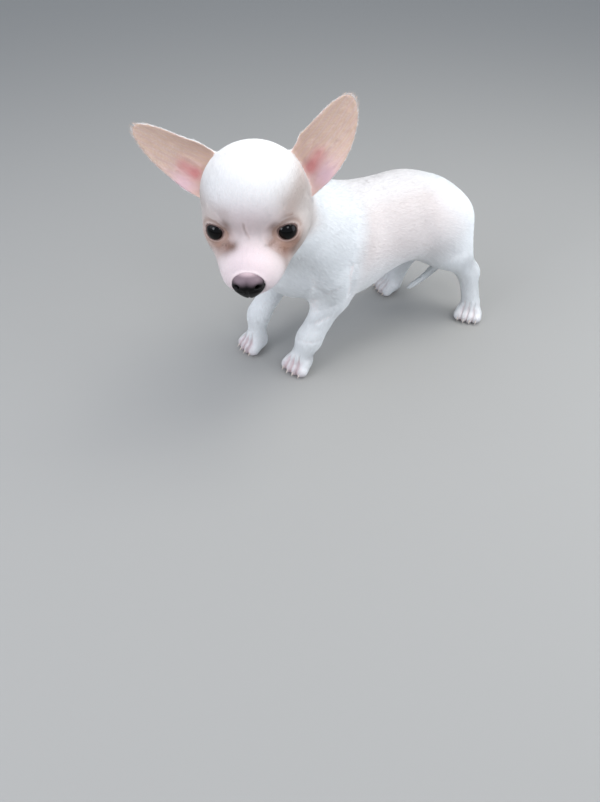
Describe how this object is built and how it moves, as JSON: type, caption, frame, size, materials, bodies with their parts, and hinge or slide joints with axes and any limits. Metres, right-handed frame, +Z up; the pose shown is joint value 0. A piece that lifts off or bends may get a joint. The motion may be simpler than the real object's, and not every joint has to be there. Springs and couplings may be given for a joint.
{
  "type": "chihuahua puppy",
  "caption": "Life-size still model of a smooth-coated cream chihuahua puppy standing, with its head turned to its left and its tail tucked.",
  "frame": {"origin": "on the ground, at the middle of the box round the puppy", "axes": "+Z up, -Y the way the body faces, +X the puppy's own left"},
  "size_m": [0.104, 0.2178, 0.1773],
  "materials": {
    "coat": "short, dense cream hair lying flat",
    "ear_skin": "thin pink skin with sparse fine hair, softly matt",
    "nose_leather": "moist, finely pebbled dark skin",
    "eyeball": "wet, near-black brown eye"
  },
  "bodies": {
    "root": {"head": "coat", "neck": "coat", "torso": "coat", "tail": "coat", "ear_left": "ear_skin", "ear_right": "ear_skin", "nose": "nose_leather", "eye_left": "eyeball", "eye_right": "eyeball", "front_left_leg": "coat", "front_left_paw": "coat", "front_right_leg": "coat", "front_right_paw": "coat", "hind_left_leg": "coat", "hind_left_paw": "coat", "hind_right_leg": "coat", "hind_right_paw": "coat"}
  },
  "joints": []
}
